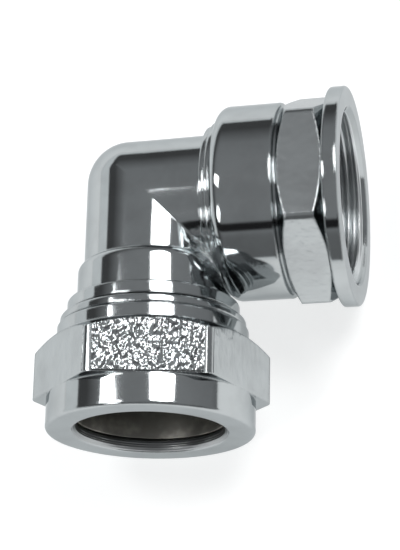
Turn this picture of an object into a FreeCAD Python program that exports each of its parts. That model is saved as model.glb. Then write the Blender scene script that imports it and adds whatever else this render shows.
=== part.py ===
import FreeCAD, Part
import math
import os

from FreeCAD import Rotation, Vector

# An elbow for 22 mm tube: a compression joint on one end, a G 3/4 female thread on the other.
# Both axes lie in the XY plane. The tube axis runs along -Y and the port axis along +X.
# The origin is the middle of the tube stop. Sizes are in millimetres.

# Tube and socket
tube_radius = 11.0
socket_clearance = 0.075
socket_depth = 11.4
stop_width = 2.5

# Elbow corner and the two tapered legs, as walls round the waterway
corner_wall = 2.2
corner_rounding = 7.2
tube_leg_end_wall = 2.2
port_leg_end_wall = 2.3

# Tube end of the body. The collar's wall is round the waterway
collar_wall = 3.1
collar_length = 6.0
collar_rounding = 1.3
shoulder_step = 1.4
shoulder_length = 2.0
shoulder_rounding = 0.25
stop_to_shoulder = 0.4
mouth_flare = 0.675
mouth_half_angle = 30.0

# Parallel pipe thread G 3/4, on the tube end, in the nut and in the port. Reliefs are counted in pitches
thread_wall = 0.985
thread_depth = 1.16
thread_pitch = 1.814
thread_half_angle = 27.5
thread_clearance = 0.13
flank_clearance = 0.12
relief_pitches = 1.0
relief_depth = 0.1
thread_lead_in = 0.92

# Compression ring
ring_clearance = 0.08
ring_wall = 1.22
ring_length = 6.0
ring_tip_wall = 0.22
ring_heel_wall = 0.42
hand_tight_gap = 0.4
seat_gap = 0.1

# Nut. Its walls are round the groove of its thread
nut_length = 17.15
nut_hex_wall = 2.15
nut_turn = 12.5
nut_bore_clearance = 0.1
nut_lip = 1.63
nut_bore_chamfer = 0.6
nut_pocket_clearance = 0.25
nut_entry_length = 2.0
nut_entry_clearance = 0.25
nut_relief_pitches = 1.1
nut_rim_wall = 0.65
nut_rim_length = 1.3
nut_rim_rounding = 0.45
nut_band_wall = 1.05
nut_band_length = 2.0
nut_groove_depth = 0.3
nut_groove_length = 0.3
nut_edge_rounding = 0.15
nut_nose_wall = 2.2
nut_nose_length = 4.75
nut_nose_rounding = 0.5
nut_corner_rounding = 2.0
hex_chamfer_angle = 30.0

# Port end of the body. Its walls are round the port's thread
centre_to_port_face = 30.6
port_collar_to_stop = 1.35
port_hex_wall = 1.28
port_hex_corner_rounding = 1.2
port_hex_length = 7.0
port_hex_inset = 0.35
port_collar_wall = 1.63
port_collar_length = 9.6
port_collar_rounding = 1.8
port_rim_wall = 3.38
port_rim_length = 2.35
port_rim_rounding = 0.35
port_groove_length = 0.45
port_groove_depth = 0.8
port_bead_walls = (3.55, 4.15)
port_bead_length = 0.95
port_bead_rounding = 0.3
port_thread_depth = 14.0
port_relief_pitches = 1.3
port_entry_margin = 0.3

# How far a cutter reaches past what it cuts
overshoot = 1.0

# Radii on the body
socket_radius = tube_radius + socket_clearance
waterway_radius = tube_radius - stop_width
thread_minor_radius = socket_radius + thread_wall
thread_major_radius = thread_minor_radius + thread_depth
corner_radius = waterway_radius + corner_wall
tube_leg_end_radius = waterway_radius + tube_leg_end_wall
port_leg_end_radius = waterway_radius + port_leg_end_wall
collar_radius = waterway_radius + collar_wall
shoulder_radius = collar_radius + shoulder_step
mouth_radius = socket_radius + mouth_flare
relief_radius = thread_minor_radius - relief_depth
port_collar_radius = thread_major_radius + port_collar_wall
port_neck_radius = port_collar_radius - port_groove_depth
port_rim_radius = thread_major_radius + port_rim_wall
port_hex_across_flats = 2 * (thread_major_radius + port_hex_wall)

# Radii on the ring and the nut
ring_inner_radius = tube_radius + ring_clearance
ring_outer_radius = ring_inner_radius + ring_wall
nut_bore_radius = tube_radius + nut_bore_clearance
pocket_radius = ring_outer_radius + nut_pocket_clearance
nut_groove_radius = thread_major_radius + thread_clearance
nut_rim_radius = nut_groove_radius + nut_rim_wall
nut_band_radius = nut_groove_radius + nut_band_wall
nut_nose_radius = nut_groove_radius + nut_nose_wall
nut_across_flats = 2 * (nut_groove_radius + nut_hex_wall)
nut_hex_inset = nut_across_flats / 2 - nut_band_radius
nut_flat_angle = 90 - nut_turn

# The two axes, and the crossing of them
centre_to_stop = port_collar_radius + port_collar_to_stop
origin_to_centre = Vector(0, centre_to_stop, 0)
tube_direction = Vector(0, -1, 0)
port_direction = Vector(1, 0, 0)

# Places along the tube axis, counted from the tube stop towards the nut's mouth
shoulder_start = -stop_to_shoulder
shoulder_end = shoulder_start + shoulder_length
collar_start = shoulder_start - collar_length
thread_start = shoulder_end + relief_pitches * thread_pitch
body_mouth = socket_depth
mouth_slope = math.tan(math.radians(mouth_half_angle))
ring_contact = body_mouth - (mouth_radius - ring_inner_radius - ring_tip_wall) / mouth_slope
ring_start = ring_contact + hand_tight_gap
ring_end = ring_start + ring_length
seat_end = ring_end + seat_gap + ring_inner_radius + ring_heel_wall - nut_bore_radius
nut_mouth = seat_end + nut_lip
nut_top = nut_mouth - nut_length
nut_thread_start = nut_top + nut_entry_length
pocket_end = seat_end - (pocket_radius - nut_bore_radius)
nut_thread_end = body_mouth
nut_relief_end = nut_thread_end + nut_relief_pitches * thread_pitch
nut_groove_start = nut_top + nut_rim_length
nut_groove_end = nut_groove_start + nut_groove_length
nut_hex_start = nut_groove_end + nut_band_length

# Places along the port axis, counted from the crossing of the two axes
port_rim_start = centre_to_port_face - port_rim_length
port_hex_start = port_rim_start - port_hex_length
port_collar_end = port_hex_start - port_groove_length
port_collar_start = port_collar_end - port_collar_length
port_beads_start = port_collar_start - port_bead_length * len(port_bead_walls)
port_bottom = centre_to_port_face - port_thread_depth
port_relief_end = port_bottom + port_relief_pitches * thread_pitch

# Thread section: equal flats on crest and root, and flanks at the half angle
flank_slope = math.tan(math.radians(thread_half_angle))
flat_half_width = (thread_pitch / 2 - thread_depth * flank_slope) / 2
thread_overshoot = 0.15
body_groove_first = (shoulder_end + thread_start) / 2


def placed(shape, base, direction):
    """Turns a shape drawn along +Z from the zero point so that it runs along direction from base."""
    moved = shape.copy()
    moved.Placement = FreeCAD.Placement(base, Rotation(Vector(0, 0, 1), direction))
    return moved


def turned(outline, base, direction):
    """A solid of revolution about direction, from an outline of (radius, place) corners."""
    corners = [Vector(radius, 0, place) for radius, place in outline]
    face = Part.Face(Part.makePolygon(corners + corners[:1]))
    return placed(face.revolve(Vector(0, 0, 0), Vector(0, 0, 1), 360), base, direction)


def on_tube(outline):
    return turned(outline, Vector(0, 0, 0), tube_direction)


def on_port(outline):
    return turned(outline, origin_to_centre, port_direction)


def along_tube(shape):
    return placed(shape, Vector(0, 0, 0), tube_direction)


def along_port(shape):
    return placed(shape, origin_to_centre, port_direction)


def rounded_disc(radius, start, end, start_rounding, end_rounding):
    """A plain disc along +Z from start to end, with its two rims rounded."""
    disc = Part.makeCylinder(radius, end - start, Vector(0, 0, start))
    for place, rounding in ((start, start_rounding), (end, end_rounding)):
        if rounding > 0:
            rims = [edge for edge in disc.Edges if is_rim(edge, radius, place)]
            disc = disc.makeFillet(rounding, rims)
    return disc


def is_rim(edge, radius, place):
    box = edge.BoundBox
    return box.ZLength < 1e-6 and abs(box.ZMin - place) < 1e-6 and box.XLength > radius


def hex_prism(across_flats, rounding, start, end, turn, start_inset=None, end_inset=None):
    """A hexagon along +Z with one flat facing turn degrees from +X. An inset end gets a shallow cone."""
    corner = across_flats / 2 / math.cos(math.radians(30))
    angles = [math.radians(turn + 30 + 60 * side) for side in range(7)]
    points = [Vector(corner * math.cos(angle), corner * math.sin(angle), start) for angle in angles]
    prism = Part.Face(Part.makePolygon(points)).extrude(Vector(0, 0, end - start))
    uprights = [edge for edge in prism.Edges if edge.BoundBox.ZLength > (end - start) / 2]
    prism = prism.makeFillet(rounding, uprights)
    slope = math.tan(math.radians(hex_chamfer_angle))
    reach = corner + overshoot

    def end_points(place, inset, inward):
        if inset is None:
            return [(reach, place)]
        narrow = across_flats / 2 - inset
        return [(narrow, place), (reach, place + inward * (reach - narrow) * slope)]

    outline = [(0, start)] + end_points(start, start_inset, 1)
    outline += end_points(end, end_inset, -1)[::-1] + [(0, end)]
    return prism.common(turned(outline, Vector(0, 0, 0), Vector(0, 0, 1)))


def thread_groove(inner_radius, inner_half_width, outer_radius, outer_half_width, first, last):
    """A right-hand helical groove along +Z, centred on first where it begins and on last where it ends."""
    helix = Part.makeHelix(thread_pitch, last - first, inner_radius)
    helix.translate(Vector(0, 0, first))
    corners = [
        Vector(inner_radius, 0, first - inner_half_width),
        Vector(outer_radius, 0, first - outer_half_width),
        Vector(outer_radius, 0, first + outer_half_width),
        Vector(inner_radius, 0, first + inner_half_width),
    ]
    return Part.Wire(helix).makePipeShell([Part.makePolygon(corners + corners[:1])], True, True)


def outer_groove(first, last):
    """Cuts an outside thread: the groove is narrow at the minor radius and opens outwards."""
    outer = thread_major_radius + thread_overshoot
    return thread_groove(
        thread_minor_radius,
        flat_half_width,
        outer,
        flat_half_width + (outer - thread_minor_radius) * flank_slope,
        first,
        last,
    )


def inner_groove(clearance, flank_gap, first, last):
    """Cuts an inside thread: the groove is narrow at the major radius and opens inwards."""
    outer = thread_major_radius + clearance
    inner = thread_minor_radius + clearance - thread_overshoot
    root_half_width = flat_half_width + flank_gap - clearance * flank_slope
    return thread_groove(
        inner, root_half_width + (outer - inner) * flank_slope, outer, root_half_width, first, last
    )


def corner_solid():
    """The outer quarter of the elbow: two mitred stubs joined by a turned segment."""
    offset = corner_radius - corner_rounding
    half_chord = math.sqrt(corner_radius**2 - offset**2)
    low = Vector(-offset, offset, -half_chord)
    high = Vector(-offset, offset, half_chord)
    arc = Part.Arc(low, Vector(-offset, corner_radius, 0), high).toShape()
    segment = Part.Face(Part.Wire([arc, Part.makeLine(high, low)]))
    outside = segment.revolve(Vector(-offset, offset, 0), Vector(0, 0, 1), 90)
    reach = corner_radius + overshoot

    def wedge(second, third):
        """The prism between the mitre plane and one leg's own side."""
        outline = Part.makePolygon([Vector(0, 0, -reach), second, third, Vector(0, 0, -reach)])
        return Part.Face(outline).extrude(Vector(0, 0, 2 * reach))

    across = Part.makeCylinder(corner_radius, offset, Vector(-offset, 0, 0), Vector(1, 0, 0))
    upright = Part.makeCylinder(corner_radius, offset, Vector(0, 0, 0), Vector(0, 1, 0))
    across = across.common(wedge(Vector(0, reach, -reach), Vector(-reach, reach, -reach)))
    upright = upright.common(wedge(Vector(-reach, reach, -reach), Vector(-reach, 0, -reach)))
    corner = outside.fuse([across, upright])
    corner.translate(origin_to_centre)
    return corner


def joined_halves(solid):
    """The same solid, joined from its halves at the XY plane, so thread crests are short faces."""
    side = 2 * (centre_to_stop + centre_to_port_face)
    upper = Part.makeBox(side, side, side, Vector(-side / 2, -side / 2, 0))
    return solid.common(upper).fuse(solid.cut(upper))


def elbow_body():
    tube_leg = on_tube(
        [
            (0, -centre_to_stop),
            (corner_radius, -centre_to_stop),
            (tube_leg_end_radius, collar_start + collar_rounding),
            (0, collar_start + collar_rounding),
        ]
    )
    port_leg = on_port(
        [
            (0, 0),
            (corner_radius, 0),
            (port_leg_end_radius, port_beads_start + port_bead_rounding),
            (0, port_beads_start + port_bead_rounding),
        ]
    )
    threaded_end = on_tube(
        [
            (0, shoulder_start),
            (relief_radius, shoulder_start),
            (relief_radius, thread_start),
            (thread_major_radius, thread_start + thread_lead_in),
            (thread_major_radius, body_mouth - thread_lead_in),
            (thread_major_radius - thread_lead_in, body_mouth),
            (0, body_mouth),
        ]
    )
    pieces = [
        port_leg,
        corner_solid(),
        threaded_end,
        along_tube(rounded_disc(collar_radius, collar_start, shoulder_start, collar_rounding, 0)),
        along_tube(rounded_disc(shoulder_radius, shoulder_start, shoulder_end, shoulder_rounding, 0)),
        along_port(
            rounded_disc(
                port_collar_radius,
                port_collar_start,
                port_collar_end,
                port_collar_rounding,
                port_rim_rounding,
            )
        ),
        along_port(rounded_disc(port_neck_radius, port_collar_end, port_hex_start, 0, 0)),
        along_port(
            hex_prism(
                port_hex_across_flats,
                port_hex_corner_rounding,
                port_hex_start,
                port_rim_start,
                0,
                port_hex_inset,
                port_hex_inset,
            )
        ),
        along_port(
            rounded_disc(
                port_rim_radius, port_rim_start, centre_to_port_face, port_rim_rounding, port_rim_rounding
            )
        ),
    ]
    for number, wall in enumerate(port_bead_walls):
        start = port_beads_start + number * port_bead_length
        end = start + port_bead_length
        bead = rounded_disc(waterway_radius + wall, start, end, port_bead_rounding, port_bead_rounding)
        pieces.append(along_port(bead))
    solid = tube_leg.fuse(pieces)

    tube_bore = on_tube(
        [
            (0, -centre_to_stop),
            (waterway_radius, -centre_to_stop),
            (waterway_radius, 0),
            (socket_radius, 0),
            (socket_radius, body_mouth - (mouth_radius - socket_radius) / mouth_slope),
            (mouth_radius, body_mouth),
            (mouth_radius, body_mouth + overshoot),
            (0, body_mouth + overshoot),
        ]
    )
    entry_radius = thread_major_radius + port_entry_margin
    port_bore = on_port(
        [
            (0, 0),
            (waterway_radius, 0),
            (waterway_radius, port_bottom),
            (thread_major_radius + relief_depth, port_bottom),
            (thread_major_radius + relief_depth, port_relief_end),
            (thread_minor_radius, port_relief_end),
            (thread_minor_radius, centre_to_port_face - (entry_radius - thread_minor_radius)),
            (entry_radius, centre_to_port_face),
            (entry_radius, centre_to_port_face + overshoot),
            (0, centre_to_port_face + overshoot),
        ]
    )
    bend = Part.makeSphere(waterway_radius, origin_to_centre)
    solid = solid.cut([tube_bore, port_bore, bend])

    body_groove = outer_groove(body_groove_first, body_mouth + thread_pitch)
    port_groove = inner_groove(0, 0, (port_bottom + port_relief_end) / 2, centre_to_port_face + thread_pitch)
    return joined_halves(solid.cut([along_tube(body_groove), along_port(port_groove)]))


def compression_nut():
    hexagon = hex_prism(
        nut_across_flats,
        nut_corner_rounding,
        nut_hex_start,
        nut_mouth - nut_nose_length,
        nut_flat_angle,
        nut_hex_inset,
    )
    pieces = [
        rounded_disc(nut_band_radius, nut_groove_end, nut_hex_start, nut_edge_rounding, 0),
        rounded_disc(nut_rim_radius - nut_groove_depth, nut_groove_start, nut_groove_end, 0, 0),
        rounded_disc(nut_rim_radius, nut_top, nut_groove_start, nut_rim_rounding, nut_edge_rounding),
        rounded_disc(nut_nose_radius, nut_mouth - nut_nose_length, nut_mouth, 0, nut_nose_rounding),
    ]
    solid = hexagon.fuse(pieces)
    entry_radius = thread_major_radius + nut_entry_clearance
    inner_minor = thread_minor_radius + thread_clearance
    relief = nut_groove_radius + relief_depth
    bore = turned(
        [
            (0, nut_top - overshoot),
            (entry_radius, nut_top - overshoot),
            (entry_radius, nut_thread_start),
            (inner_minor, nut_thread_start + (entry_radius - inner_minor)),
            (inner_minor, nut_thread_end),
            (relief, nut_thread_end),
            (relief, nut_relief_end),
            (pocket_radius, nut_relief_end + (relief - pocket_radius)),
            (pocket_radius, pocket_end),
            (nut_bore_radius, seat_end),
            (nut_bore_radius, nut_mouth - nut_bore_chamfer),
            (nut_bore_radius + nut_bore_chamfer + overshoot, nut_mouth + overshoot),
            (0, nut_mouth + overshoot),
        ],
        Vector(0, 0, 0),
        Vector(0, 0, 1),
    )
    pitches_in = math.floor((nut_thread_start - body_groove_first) / thread_pitch) - 0.5
    first = body_groove_first + pitches_in * thread_pitch
    groove = inner_groove(thread_clearance, flank_clearance, first, (nut_thread_end + nut_relief_end) / 2)
    return along_tube(solid.cut([bore, groove]))


def compression_ring():
    heel = ring_wall - ring_heel_wall
    outline = [
        (ring_inner_radius, ring_start),
        (ring_inner_radius + ring_tip_wall, ring_start),
        (ring_outer_radius, ring_start + (ring_wall - ring_tip_wall) / mouth_slope),
        (ring_outer_radius, ring_end - heel),
        (ring_outer_radius - heel, ring_end),
        (ring_inner_radius, ring_end),
    ]
    return on_tube(outline)


os.makedirs("parts", exist_ok=True)
nodes = {
    "elbow_body": elbow_body(),
    "compression_nut": compression_nut(),
    "compression_ring": compression_ring(),
}
for name, shape in nodes.items():
    print(name, len(shape.Solids), "solid", round(shape.Volume, 2), "mm3, valid:", shape.isValid())
    shape.Solids[0].exportStep("parts/" + name + ".step")
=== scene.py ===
import bpy, bmesh, math
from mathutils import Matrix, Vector


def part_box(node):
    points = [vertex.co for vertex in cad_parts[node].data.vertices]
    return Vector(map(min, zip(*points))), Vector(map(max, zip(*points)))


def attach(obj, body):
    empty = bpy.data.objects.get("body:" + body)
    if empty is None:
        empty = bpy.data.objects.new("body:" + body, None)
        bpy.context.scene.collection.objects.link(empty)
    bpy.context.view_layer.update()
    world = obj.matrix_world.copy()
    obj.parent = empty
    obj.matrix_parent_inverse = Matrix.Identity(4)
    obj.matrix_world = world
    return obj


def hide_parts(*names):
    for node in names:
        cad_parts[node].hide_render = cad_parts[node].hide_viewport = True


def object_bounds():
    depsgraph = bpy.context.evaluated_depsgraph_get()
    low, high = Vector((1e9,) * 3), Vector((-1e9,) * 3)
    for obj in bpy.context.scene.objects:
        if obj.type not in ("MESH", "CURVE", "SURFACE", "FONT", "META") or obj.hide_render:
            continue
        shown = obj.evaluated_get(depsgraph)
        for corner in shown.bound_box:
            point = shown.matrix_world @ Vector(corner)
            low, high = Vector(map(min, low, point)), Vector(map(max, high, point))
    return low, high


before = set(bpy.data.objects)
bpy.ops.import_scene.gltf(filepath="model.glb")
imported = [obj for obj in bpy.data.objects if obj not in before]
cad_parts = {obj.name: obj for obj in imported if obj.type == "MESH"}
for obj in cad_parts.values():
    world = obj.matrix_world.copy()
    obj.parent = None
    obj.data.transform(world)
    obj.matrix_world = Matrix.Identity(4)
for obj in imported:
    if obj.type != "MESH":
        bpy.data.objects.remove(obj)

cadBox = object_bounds()
mm = 0.001

mainView = {"place": (71.87, -94.12, 268.87), "turn": (19.995, 13.165, 1.097), "lens": 127.66}


def makeCamera():
    data = bpy.data.cameras.new("mainCamera")
    data.lens = mainView["lens"]
    data.sensor_width = 36
    data.clip_start = 0.01
    camera = bpy.data.objects.new("mainCamera", data)
    camera.location = Vector(mainView["place"]) * mm
    camera.rotation_euler = [math.radians(v) for v in mainView["turn"]]
    bpy.context.scene.collection.objects.link(camera)
    bpy.context.scene.camera = camera


table = {"half": 1500, "shade": 0.42, "glow": 0.72}


def makeTable():
    bm = bmesh.new()
    bmesh.ops.create_grid(bm, x_segments=1, y_segments=1, size=table["half"] * mm)
    bmesh.ops.translate(bm, verts=bm.verts, vec=(0, 0, cadBox[0].z))
    mesh = bpy.data.meshes.new("paleTable")
    bm.to_mesh(mesh)
    bm.free()
    top = bpy.data.objects.new("paleTable", mesh)
    bpy.context.scene.collection.objects.link(top)
    paint = bpy.data.materials.new("paleTable")
    paint.use_nodes = True
    shader = paint.node_tree.nodes["Principled BSDF"]
    shader.inputs["Base Color"].default_value = (table["shade"],) * 3 + (1,)
    shader.inputs["Roughness"].default_value = 0.9
    shader.inputs["Specular IOR Level"].default_value = 0.0
    shader.inputs["Emission Color"].default_value = (0.99, 1, 1, 1)
    shader.inputs["Emission Strength"].default_value = table["glow"]
    mesh.materials.append(paint)


# the lamps stand round the fitting; toward is the way to each from the tube stop
lamps = {
    "stripLamp": {"toward": (0.38, 0.33, 0.86), "away": 900, "wide": 380, "tall": 330, "power": 4.0},
    "sideLamp": {"toward": (-0.475, 0.17, 0.86), "away": 900, "wide": 190, "tall": 400, "power": 2.6},
    "lowLamp": {"toward": (-0.43, -0.47, 0.78), "away": 900, "wide": 190, "tall": 230, "power": 1.5},
}


def makeLamp(name, lamp):
    data = bpy.data.lights.new(name, "AREA")
    data.shape = "RECTANGLE"
    data.size, data.size_y = lamp["wide"] * mm, lamp["tall"] * mm
    data.energy = lamp["power"]
    light = bpy.data.objects.new(name, data)
    toward = Vector(lamp["toward"]).normalized()
    light.location = toward * lamp["away"] * mm
    light.rotation_euler = toward.to_track_quat("Z", "Y").to_euler()
    bpy.context.scene.collection.objects.link(light)


# the room the chrome reflects: pale low down, a dark belt above it, grey overhead
room = {
    "leftRise": 0.39,                # how far the pale side climbs towards -X
    "paleEdge": -0.05,
    "pale": (0.93, 0.96, 0.97),
    "dark": (0.085, 0.086, 0.088), "darkTo": 0.22,
    "middle": (0.27, 0.277, 0.285), "middleAt": 0.55,
    "top": (0.31, 0.317, 0.325),
    "lowSide": (0.20, 0.205, 0.21),  # close to the table on the -Y side
    "beamTilt": 48.5, "beamHalf": 0.11, "beam": (0.02, 0.02, 0.021),   # a dark beam over that side
}


def makeRoom():
    world = bpy.data.worlds.new("studioRoom")
    bpy.context.scene.world = world
    world.use_nodes = True
    g = Graph(world.node_tree)
    x, y, z = g.split(g.add("ShaderNodeTexCoord").outputs["Generated"])
    height = g.math("ADD", g.math("MULTIPLY", x, room["leftRise"]), z)
    height = g.math("SUBTRACT", height, room["paleEdge"])
    above = g.ramp(height, [(0.0, room["dark"]), (room["darkTo"], room["dark"]),
                            (room["middleAt"], room["middle"]), (1.0, room["top"])])
    low = g.math("MULTIPLY", g.step(y, -0.80, -0.88), 0.9)
    above = g.mix(low, above, room["lowSide"])
    tilt = math.radians(room["beamTilt"])
    beam = g.math("ADD", g.math("MULTIPLY", y, math.cos(tilt)), g.math("MULTIPLY", z, math.sin(tilt)))
    beam = g.step(g.math("ABSOLUTE", beam), room["beamHalf"], room["beamHalf"] * 0.5)
    beam = g.math("MULTIPLY", beam, g.step(y, -0.2, -0.3))
    above = g.mix(beam, above, room["beam"])
    pale = g.step(height, 0.01, -0.01)
    g.link(g.mix(pale, above, room["pale"]), world.node_tree.nodes["Background"].inputs["Color"])


# short names for adding and joining shader nodes
class Graph:
    def __init__(self, tree):
        self.tree = tree

    def add(self, kind, **values):
        node = self.tree.nodes.new(kind)
        for name, value in values.items():
            self.feed(node.inputs[name.replace("_", " ")], value)
        return node

    def feed(self, socket, value):
        if isinstance(value, bpy.types.NodeSocket):
            self.tree.links.new(value, socket)
        elif hasattr(value, "__len__") and len(value) == 3 and socket.type == "RGBA":
            socket.default_value = (*value, 1)
        else:
            socket.default_value = value

    def link(self, a, b):
        self.tree.links.new(a, b)

    def split(self, vector):
        return self.add("ShaderNodeSeparateXYZ", Vector=vector).outputs

    def math(self, operation, a, b=0.0, c=0.0):
        node = self.add("ShaderNodeMath")
        node.operation = operation
        for socket, value in zip(node.inputs, (a, b, c)):
            self.feed(socket, value)
        return node.outputs[0]

    def step(self, value, low, high):
        # 0 at low, 1 at high, smooth between them; low may be above high
        node = self.add("ShaderNodeMapRange")
        node.interpolation_type = "SMOOTHSTEP"
        flip = low > high
        for name, v in (("Value", value), ("From Min", min(low, high)), ("From Max", max(low, high)),
                        ("To Min", 1.0 if flip else 0.0), ("To Max", 0.0 if flip else 1.0)):
            self.feed(node.inputs[name], v)
        return node.outputs[0]

    def ramp(self, value, stops):
        node = self.add("ShaderNodeValToRGB", Fac=value)
        while len(node.color_ramp.elements) < len(stops):
            node.color_ramp.elements.new(0.5)
        for element, (place, colour) in zip(node.color_ramp.elements, stops):
            element.position = place
            element.color = (*colour, 1)
        return node.outputs[0]

    def mix(self, share, a, b):
        node = self.tree.nodes.new("ShaderNodeMix")
        node.data_type = "RGBA"
        self.feed(node.inputs["Factor"], share)
        self.feed(node.inputs[6], a)
        self.feed(node.inputs[7], b)
        return node.outputs[2]

    def noise(self, place, size, detail=2.0, roughness=0.5):
        # features about size millimetres across
        node = self.add("ShaderNodeTexNoise", Vector=place, Scale=1 / (size * mm), Detail=detail,
                        Roughness=roughness)
        return node.outputs[0]

    def bump(self, height, depth, normal=None):
        # depth millimetres high where height is 1
        node = self.add("ShaderNodeBump", Height=height, Distance=depth * mm, Strength=1.0)
        if normal is not None:
            self.link(normal, node.inputs["Normal"])
        return node.outputs[0]


makeCamera()
makeTable()
makeRoom()
for name, lamp in lamps.items():
    makeLamp(name, lamp)
bpy.context.scene.view_settings.view_transform = "Standard"
print("stage set")

# the plated skin and the bare bores; sizes and places are in millimetres in the frame
chromeLook = {"tint": (0.46, 0.485, 0.492), "dull": (0.41, 0.43, 0.436), "rim": (0.62, 0.64, 0.65),
              "gloss": 0.045}
bareLook = {"tint": (0.46, 0.48, 0.485), "dull": (0.28, 0.285, 0.29), "gloss": 0.22,
            "pitch": 0.35, "depth": 0.03}
# each bore's last number scales its colours: painted light above 1, painted shade below 1
# grain, stretch, depth and rough are the forged pebbles on a hexagon's flats
nutSkin = {"axis": "Y", "turn": 12.5, "centre": (0, 0, 0), "flat": 15.5, "from": -14.35, "to": -5.7,
           "grain": 1.05, "stretch": 0.6, "depth": 0.14, "frontDepth": 1.15, "rough": 0.15, "soften": 0.45,
           "bores": [
               {"axis": "Y", "centre": (0, 0, 0), "across": 13.6, "from": -19.1, "to": 0, "paintedLightAndShade": 1.0}]}
portSkin = {"axis": "X", "turn": 0, "centre": (0, 16.2, 0), "flat": 14.5, "from": 21.4, "to": 28.1,
            "grain": 1.1, "stretch": 1.0, "depth": 0.06, "frontDepth": 0.045, "rough": 0.13, "soften": 0.5,
            "bores": [     # the pipe thread, its waterway, the tube socket, its waterway
                {"axis": "X", "centre": (0, 16.2, 0), "across": 13.4, "from": 16.4, "to": 30.0, "paintedLightAndShade": 1.7},
                {"axis": "X", "centre": (0, 16.2, 0), "across": 8.8, "from": 0.0, "to": 17.0, "paintedLightAndShade": 1.0},
                {"axis": "Y", "centre": (0, 0, 0), "across": 11.7, "from": -20.0, "to": 0.3, "paintedLightAndShade": 0.8},
                {"axis": "Y", "centre": (0, 0, 0), "across": 8.8, "from": -1.0, "to": 16.2, "paintedLightAndShade": 0.8}]}
innerCorner = {"at": (8.5, 7.7, 0), "reach": 9.5, "band": 2.6, "grain": 1.5, "depth": 0.30, "soften": 1.6}


def shifted(g, place, centre):
    moved = g.add("ShaderNodeVectorMath", Vector=place)
    moved.operation = "SUBTRACT"
    moved.inputs[1].default_value = Vector(centre) * mm
    return moved.outputs[0]


def between(g, value, low, high, soft):
    start = g.step(value, low * mm, (low + soft) * mm)
    end = g.step(value, high * mm, (high - soft) * mm)
    return g.math("MULTIPLY", start, end)


# 1 on the six flats of a hexagon; the second value is 1 on its front and back flats only
def flatShare(g, place, skin):
    x, y, z = g.split(shifted(g, place, skin["centre"]))
    along, side = (x, y) if skin["axis"] == "X" else (y, x)
    reaches = []
    for n in range(3):
        a = math.radians(skin["turn"] + 60 * n)
        reach = g.math("ADD", g.math("MULTIPLY", z, math.cos(a)), g.math("MULTIPLY", side, math.sin(a)))
        reaches.append(g.math("ABSOLUTE", reach))
    farthest = g.math("MAXIMUM", g.math("MAXIMUM", reaches[0], reaches[1]), reaches[2])
    onBand = between(g, along, skin["from"], skin["to"], 0.3)
    low, high = (skin["flat"] - 0.06) * mm, (skin["flat"] - 0.01) * mm
    return [g.math("MULTIPLY", g.step(reach, low, high), onBand) for reach in (farthest, reaches[0])]


# 1 inside a bore; the second value is the place along it
def boreShare(g, place, bore):
    x, y, z = g.split(shifted(g, place, bore["centre"]))
    along, side = (x, y) if bore["axis"] == "X" else (y, x)
    across = g.math("SQRT", g.math("ADD", g.math("MULTIPLY", side, side), g.math("MULTIPLY", z, z)))
    inside = g.step(across, bore["across"] * mm, (bore["across"] - 0.1) * mm)
    return g.math("MULTIPLY", inside, between(g, along, bore["from"], bore["to"], 0.2)), along


def platedChrome(name, skin, corner=None):
    metal = bpy.data.materials.new(name)
    metal.use_nodes = True
    g = Graph(metal.node_tree)
    shader = metal.node_tree.nodes["Principled BSDF"]
    place = g.add("ShaderNodeTexCoord").outputs["Object"]
    shader.inputs["Metallic"].default_value = 1
    shader.inputs["Specular Tint"].default_value = (*chromeLook["rim"], 1)

    # polish with faint clouds and fine haze, then the rougher forged flats
    flats, front = flatShare(g, place, skin)
    cloudy = g.noise(place, 5.0, 3.0)
    colour = g.mix(g.step(cloudy, 0.35, 0.75), chromeLook["tint"], chromeLook["dull"])
    fine = g.noise(place, 0.25, 4.0)
    rough = g.math("MULTIPLY_ADD", fine, 0.05, chromeLook["gloss"])
    rough = g.math("MULTIPLY_ADD", flats, skin["rough"], rough)
    long = g.add("ShaderNodeVectorMath", Vector=place)
    long.operation = "MULTIPLY"
    long.inputs[1].default_value = (1, skin["stretch"], 1)
    deep = g.math("MULTIPLY", front, skin["frontDepth"] - skin["depth"])
    deep = g.math("MULTIPLY_ADD", flats, skin["depth"], deep)
    height = g.math("MULTIPLY", g.noise(long.outputs[0], skin["grain"], 1.5, 0.45), deep)
    soft = skin["soften"] * mm

    # the crease inside the elbow is cast: rounded over and uneven
    if corner:
        away = g.add("ShaderNodeVectorMath", Vector=shifted(g, place, corner["at"]))
        away.operation = "LENGTH"
        near = g.step(away.outputs["Value"], corner["reach"] * mm, corner["reach"] * 0.6 * mm)
        x, y, z = g.split(shifted(g, place, corner["at"]))
        crease = g.math("ABSOLUTE", g.math("ADD", x, y))
        near = g.math("MULTIPLY", near, g.step(crease, corner["band"] * mm, corner["band"] * 0.3 * mm))
        lumps = g.math("MULTIPLY", g.noise(place, corner["grain"], 1.0), near)
        height = g.math("MULTIPLY_ADD", lumps, corner["depth"], height)
        soft = g.math("MULTIPLY_ADD", near, (corner["soften"] - skin["soften"]) * mm, soft)

    # the bores are left dull, with the marks of the boring tool
    for bore in skin["bores"]:
        inside, along = boreShare(g, place, bore)
        # painted light and shade: the bore's colours are scaled by its last number, up for painted light,
        # down for painted shade
        shades = [[min(1, v * bore["paintedLightAndShade"]) for v in bareLook[k]] for k in ("tint", "dull")]
        colour = g.mix(inside, colour, g.mix(cloudy, *shades))
        rough = g.math("MULTIPLY_ADD", inside, bareLook["gloss"], rough)
        wave = g.math("SINE", g.math("MULTIPLY", along, math.tau / (bareLook["pitch"] * mm)))
        ripple = g.math("MULTIPLY", g.math("MULTIPLY", wave, g.noise(place, 1.5)), inside)
        height = g.math("MULTIPLY_ADD", ripple, bareLook["depth"], height)

    g.link(colour, shader.inputs["Base Color"])
    g.link(rough, shader.inputs["Roughness"])
    edges = g.add("ShaderNodeBevel", Radius=soft)
    edges.samples = 4
    g.link(g.bump(height, 1.0, edges.outputs[0]), shader.inputs["Normal"])
    return metal


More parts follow.
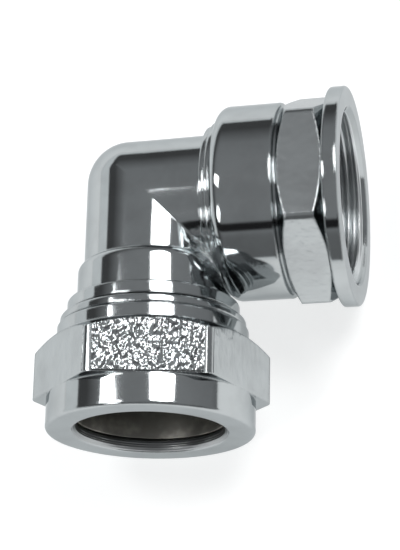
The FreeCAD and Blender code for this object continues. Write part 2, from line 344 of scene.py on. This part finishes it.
chromes = {"elbow_body": platedChrome("elbowChrome", portSkin, innerCorner),
           "compression_nut": platedChrome("nutChrome", nutSkin)}
for name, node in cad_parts.items():
    for slot in node.material_slots:
        slot.material = chromes.get(name, chromes["elbow_body"])
print("chrome laid on the body and the nut")

# the olive: a turned brass ring, steep cone towards the body, short heel cone towards the nut
# the tint and worn colours are brass painted dark: painted shade for the depth of the bore
olive = {"wall": 1.22, "tip": 0.22, "heel": 0.80, "slope": 30, "edge": 0.08, "turns": 160,
         "tint": (0.27, 0.262, 0.24), "worn": (0.45, 0.435, 0.39), "gloss": 0.30,
         "pitch": 0.12, "depth": 0.006}


def oliveBrass():
    metal = bpy.data.materials.new("oliveBrass")
    metal.use_nodes = True
    g = Graph(metal.node_tree)
    shader = metal.node_tree.nodes["Principled BSDF"]
    place = g.add("ShaderNodeTexCoord").outputs["Object"]
    along = g.split(place)[1]
    shader.inputs["Metallic"].default_value = 1
    cloudy = g.noise(place, 2.5, 4.0)
    worn = g.step(cloudy, 0.4, 0.75)
    # painted shade: both brass colours are dark for the depth of the bore; the worn patches fall at random
    g.link(g.mix(worn, olive["tint"], olive["worn"]), shader.inputs["Base Color"])
    g.link(g.math("MULTIPLY_ADD", g.noise(place, 0.3, 3.0), 0.16, olive["gloss"]), shader.inputs["Roughness"])
    wave = g.math("SINE", g.math("MULTIPLY", along, math.tau / (olive["pitch"] * mm)))
    height = g.math("MULTIPLY_ADD", wave, 0.5, g.noise(place, 0.5, 3.0))
    g.link(g.bump(height, olive["depth"]), shader.inputs["Normal"])
    return metal


def makeOlive():
    low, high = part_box("compression_ring")
    back, front = high[1] / mm, low[1] / mm          # back lies against the body
    outer = high[0] / mm
    inner = outer - olive["wall"]
    steep = (olive["wall"] - olive["tip"]) / math.tan(math.radians(olive["slope"]))
    outline = [(inner, back), (inner + olive["tip"], back), (outer, back - steep),
               (outer, front + olive["heel"]), (outer - olive["heel"], front), (inner, front)]
    bm = bmesh.new()
    verts = [bm.verts.new((r * mm, y * mm, 0)) for r, y in outline]
    bm.faces.new(verts)
    bmesh.ops.bevel(bm, geom=verts, offset=olive["edge"] * mm, offset_type="OFFSET", segments=3, profile=0.5,
                    affect="VERTICES", material=-1)
    edges = bm.edges[:]
    bmesh.ops.delete(bm, geom=bm.faces[:], context="FACES_ONLY")
    bmesh.ops.spin(bm, geom=edges, cent=(0, 0, 0), axis=(0, 1, 0), angle=math.tau, steps=olive["turns"],
                   use_merge=True)
    bmesh.ops.remove_doubles(bm, verts=bm.verts[:], dist=1e-7)
    bmesh.ops.recalc_face_normals(bm, faces=bm.faces[:])
    for f in bm.faces:
        f.smooth = True
    mesh = bpy.data.meshes.new("oliveRing")
    bm.to_mesh(mesh)
    bm.free()
    ring = bpy.data.objects.new("oliveRing", mesh)
    bpy.context.scene.collection.objects.link(ring)
    mesh.materials.append(oliveBrass())
    mesh.set_sharp_from_angle(angle=math.radians(40))
    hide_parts("compression_ring")
    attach(ring, "ring")
    print("olive turned:", len(mesh.polygons), "faces")


makeOlive()
